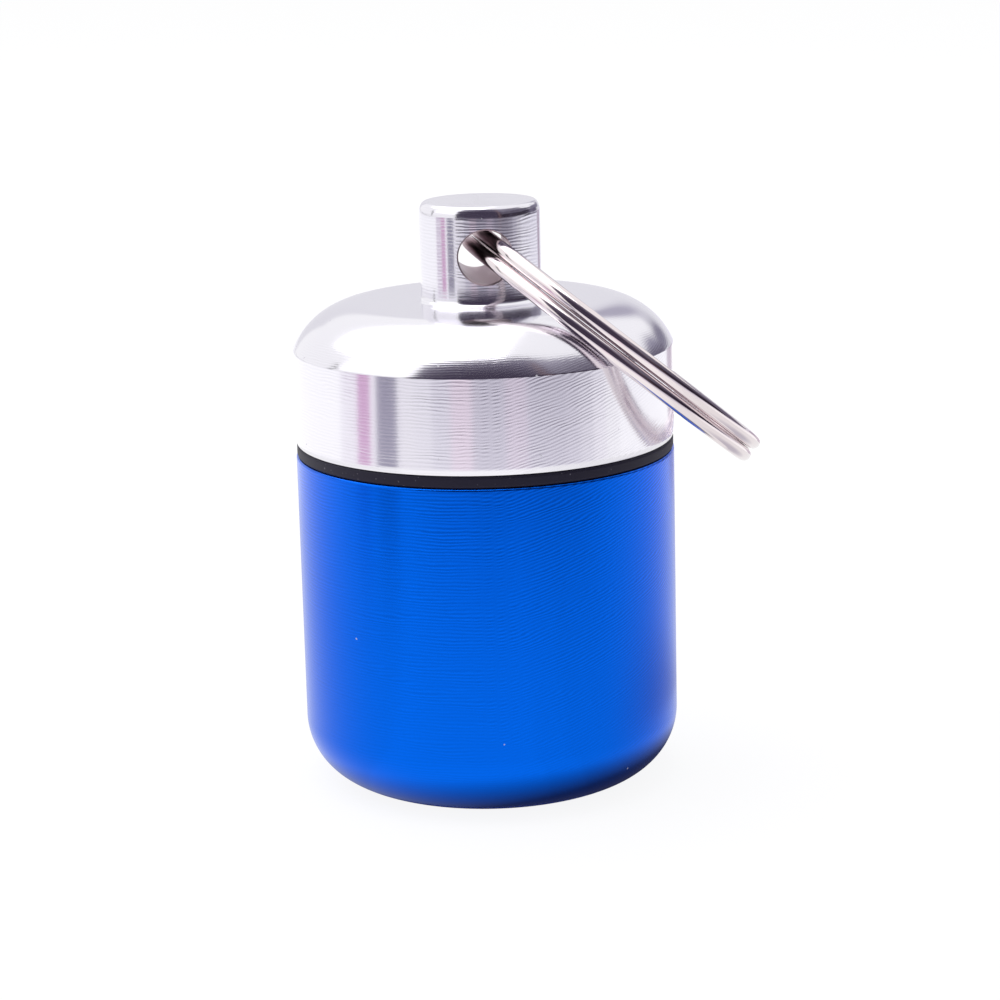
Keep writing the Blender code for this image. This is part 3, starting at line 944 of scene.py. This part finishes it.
        # To the camera its own glow and the light on it add up to white, and the shadow takes some away
        dim = add_node(tree, "ShaderNodeBsdfDiffuse", {"Color": (0.15, 0.15, 0.155, 1.0)})
        glow = add_node(tree, "ShaderNodeEmission", {"Color": linear("#FFFFFF"), "Strength": 0.9})
        pale = add_node(tree, "ShaderNodeAddShader", {0: dim, 1: glow})
        ray = add_node(tree, "ShaderNodeLightPath").outputs
        seen = add_node(tree, "ShaderNodeMixShader", {0: ray["Is Camera Ray"], 1: paper, 2: pale})
        add_node(tree, "ShaderNodeOutputMaterial", {"Surface": seen})
        sheet.data.materials.append(finish)

    def tent(self, context, studio):
        """White all round: full white to the camera and the gloss, and a soft fill for the rest."""
        world = bpy.data.worlds.new("white_tent")
        context.scene.world = world
        world.use_nodes = True
        tree = world.node_tree
        tree.nodes.clear()
        ray = add_node(tree, "ShaderNodeLightPath").outputs
        clear = {0: ray["Is Glossy Ray"], 1: ray["Is Transmission Ray"]}
        gloss = add_node(tree, "ShaderNodeMath", clear, operation="MAXIMUM")
        fill, cloth, white = (
            add_node(tree, "ShaderNodeBackground", {"Color": linear("#FFFFFF"), "Strength": strength})
            for strength in (studio.fill, 1.05, 1.0)
        )
        inside = add_node(tree, "ShaderNodeMixShader", {0: gloss, 1: fill, 2: cloth})
        seen = add_node(tree, "ShaderNodeMixShader", {0: ray["Is Camera Ray"], 1: inside, 2: white})
        add_node(tree, "ShaderNodeOutputWorld", {"Surface": seen})

    def camera(self, context, studio):
        """Camera at the photograph's place."""
        data = bpy.data.cameras.new("product_camera")
        data.lens = studio.lens
        data.sensor_width = 36.0
        data.clip_start = 0.01
        seen = bpy.data.objects.new("product_camera", data)
        look = (Vector(studio.aim) - Vector(studio.eye)).to_track_quat("-Z", "Y").to_matrix()
        turned = look @ Matrix.Rotation(studio.roll, 3, "Z")
        seen.matrix_world = Matrix.Translation(studio.eye) @ turned.to_4x4()
        context.scene.collection.objects.link(seen)
        context.scene.camera = seen
        context.scene.view_settings.view_transform = "Standard"


class PILL_PT_panel(bpy.types.Panel):
    """Lists the steps and the sizes"""

    bl_idname = "PILL_PT_panel"
    bl_label = "Pocket pill holder"
    bl_space_type = "VIEW_3D"
    bl_region_type = "UI"
    bl_category = "Pill holder"

    def draw(self, context):
        """Draws a button for each step, over the sizes that it uses."""
        for step, groups in STEPS:
            self.layout.operator(step.bl_idname)
            for group in groups:
                held = getattr(context.scene, group)
                for name in held.bl_rna.properties.keys():
                    if name not in ("rna_type", "name"):
                        self.layout.prop(held, name)


GROUPS = (
    ("pill_cup_sizes", CupSizes),
    ("pill_thread_sizes", ThreadSizes),
    ("pill_cap_sizes", CapSizes),
    ("pill_seal_sizes", SealSizes),
    ("pill_ring_sizes", RingSizes),
    ("pill_finishes", Finishes),
    ("pill_studio", Studio),
)
STEPS = (
    (PILL_OT_cup, ("pill_cup_sizes", "pill_thread_sizes")),
    (PILL_OT_cap, ("pill_cap_sizes",)),
    (PILL_OT_seal, ("pill_seal_sizes",)),
    (PILL_OT_ring, ("pill_ring_sizes", "pill_finishes")),
    (PILL_OT_studio, ("pill_studio",)),
)


def register():
    """Registers the classes and gives the scene their settings."""
    for name, group in GROUPS:
        bpy.utils.register_class(group)
        setattr(bpy.types.Scene, name, PointerProperty(type=group))
    for step, _ in STEPS:
        bpy.utils.register_class(step)
    bpy.utils.register_class(PILL_PT_panel)


def unregister():
    """Takes the classes and the settings away again."""
    bpy.utils.unregister_class(PILL_PT_panel)
    for step, _ in reversed(STEPS):
        bpy.utils.unregister_class(step)
    for name, group in reversed(GROUPS):
        delattr(bpy.types.Scene, name)
        bpy.utils.unregister_class(group)


def main():
    register()
    bpy.ops.pill_holder.cup()
    bpy.ops.pill_holder.cap()
    bpy.ops.pill_holder.seal()
    bpy.ops.pill_holder.ring()
    bpy.ops.pill_holder.studio()


if __name__ == "__main__":
    main()
